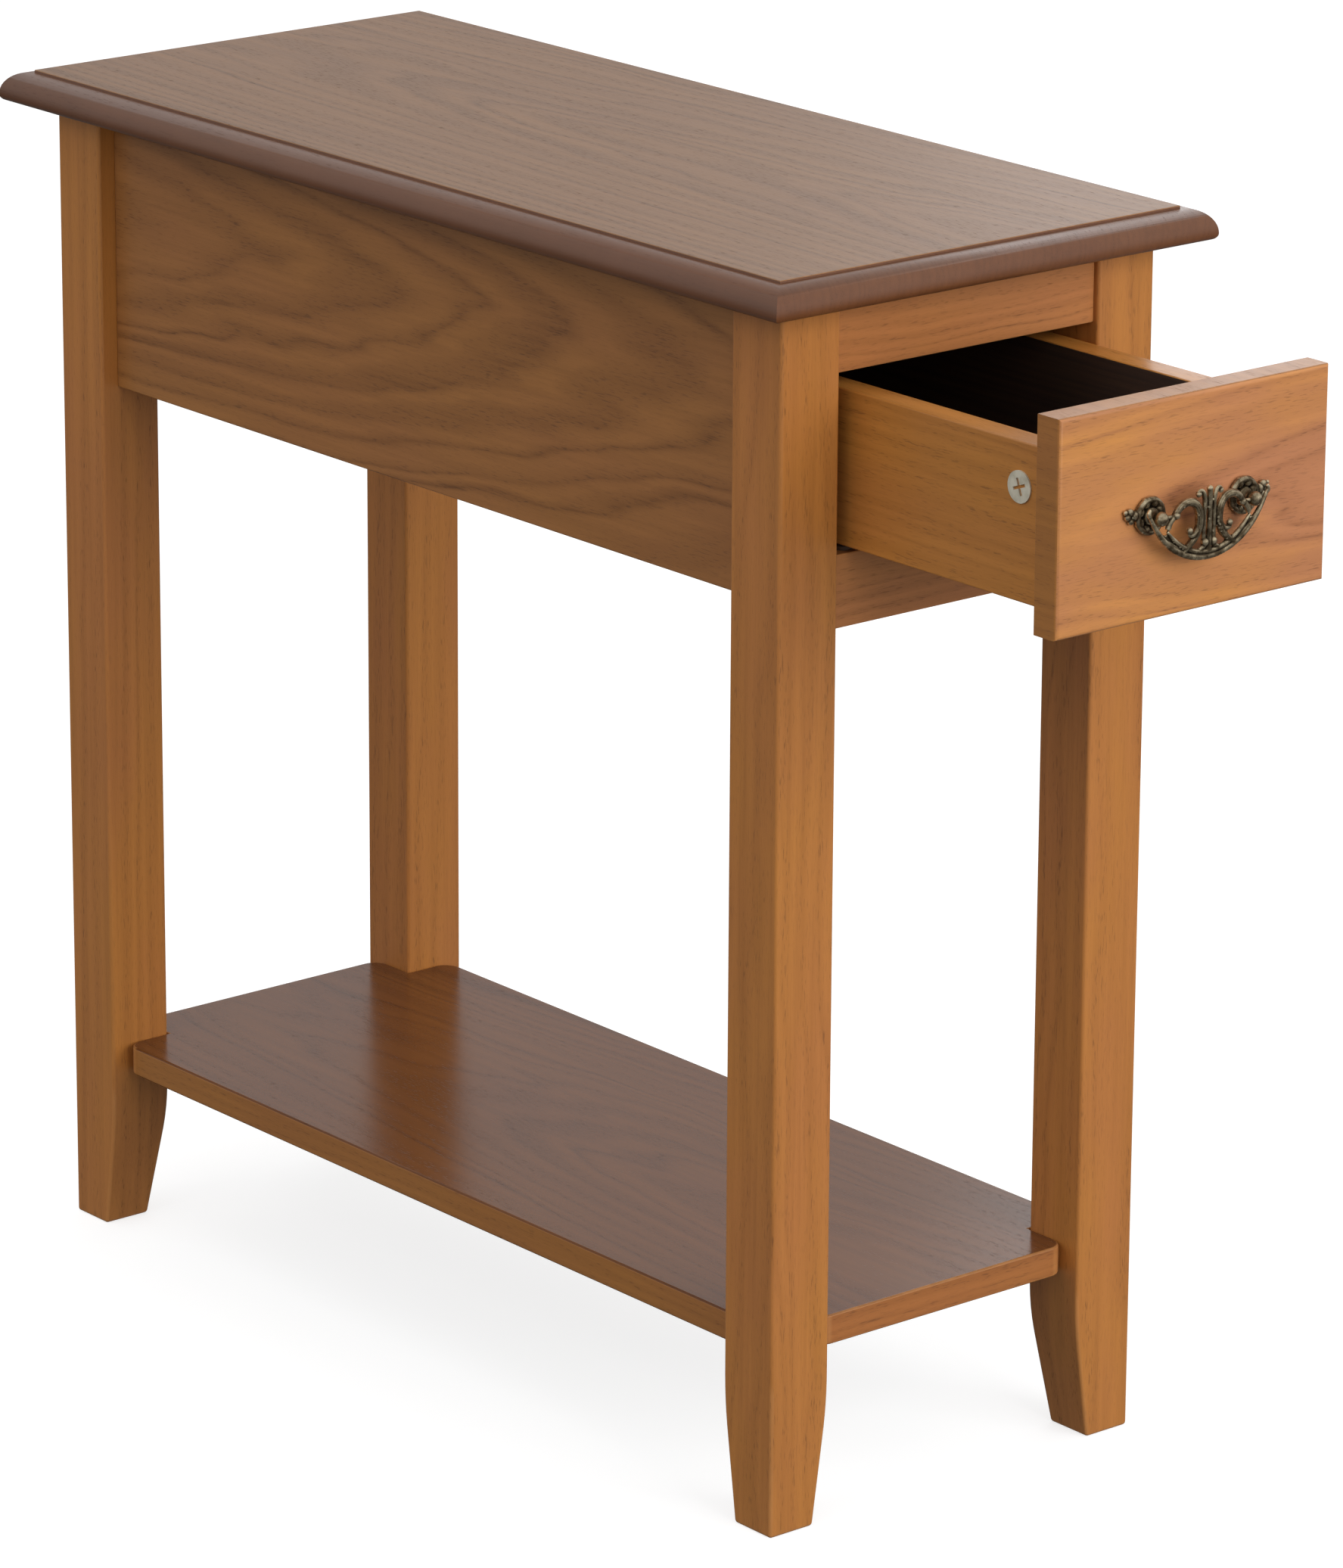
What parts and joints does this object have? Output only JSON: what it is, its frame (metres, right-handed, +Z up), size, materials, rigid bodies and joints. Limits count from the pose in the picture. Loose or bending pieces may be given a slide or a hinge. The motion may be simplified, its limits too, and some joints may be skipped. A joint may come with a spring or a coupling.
{
  "type": "side table with drawer",
  "caption": "Narrow wooden chairside table with a moulded top, panelled sides, a low shelf and a lipped drawer with a cast swinging bail handle, drawn part-way out.",
  "frame": {"origin": "on the floor, in the middle of the footprint with the drawer drawn 135 mm out, as it rests", "axes": "+Z up; -Y is the drawer front, the way the drawer opens; +X is to the right of someone facing the drawer front from behind the table, so the table's width lies along X"},
  "size_m": [0.27, 0.7478, 0.61],
  "materials": {
    "top_wood": "satin lacquer over stained oak, long grain along Y",
    "leg_wood": "semi-gloss stained oak, grain upright",
    "panel_wood": "semi-gloss stained oak, grain along Y",
    "rail_wood": "semi-gloss stained oak, grain along X",
    "shelf_wood": "satin lacquer over stained oak, grain along Y",
    "front_wood": "semi-gloss stained oak, flame figure along X",
    "drawer_wood": "satin stained solid wood, grain along Y",
    "hardboard": "matt hardboard",
    "raw_wood": "bare beech",
    "bronze": "antique bronze, dark in the recesses and rubbed pale on the high points",
    "bronze_bail": "antique bronze, dark in the recesses and rubbed pale on the high points",
    "zinc": "zinc plated",
    "cam_metal": "cast zinc, bright",
    "track_steel": "galvanised sheet",
    "nylon": "natural nylon"
  },
  "bodies": {
    "table": {"tabletop": "top_wood", "leg_front_left": "leg_wood", "leg_front_right": "leg_wood", "leg_back_left": "leg_wood", "leg_back_right": "leg_wood", "side_panel_left": "panel_wood", "side_panel_right": "panel_wood", "back_panel": "panel_wood", "front_top_rail": "rail_wood", "front_lower_rail": "rail_wood", "shelf": "shelf_wood", "top_cleat_left": "raw_wood", "top_cleat_right": "raw_wood", "top_screws": "zinc", "cleat_screws": "zinc", "case_dowels": "raw_wood", "case_cam_locks": "cam_metal", "case_cam_bolts": "zinc", "drawer_track": "track_steel", "track_socket": "nylon", "track_screws": "zinc", "rail_glides": "nylon"},
    "drawer": {"drawer_front": "front_wood", "drawer_side_left": "drawer_wood", "drawer_side_right": "drawer_wood", "drawer_back": "drawer_wood", "drawer_bottom": "hardboard", "drawer_cam_locks": "cam_metal", "drawer_cam_bolts": "zinc", "drawer_dowels": "raw_wood", "drawer_back_screws": "zinc", "drawer_guide": "nylon", "guide_screws": "zinc", "handle_post_left": "bronze", "handle_post_right": "bronze", "handle_screws": "zinc"},
    "bail": {"handle_bail": "bronze_bail"}
  },
  "joints": [
    {"name": "drawer_slide", "type": "slide", "parent": "table", "child": "drawer", "axis": [0, -1, 0], "range_m": [-0.135, 0.177]},
    {"name": "bail_swing", "type": "hinge", "parent": "drawer", "child": "bail", "pos_m": [0, -0.3705, 0.5165], "axis": [-1, 0, 0], "range_deg": [-15, 38]}
  ]
}
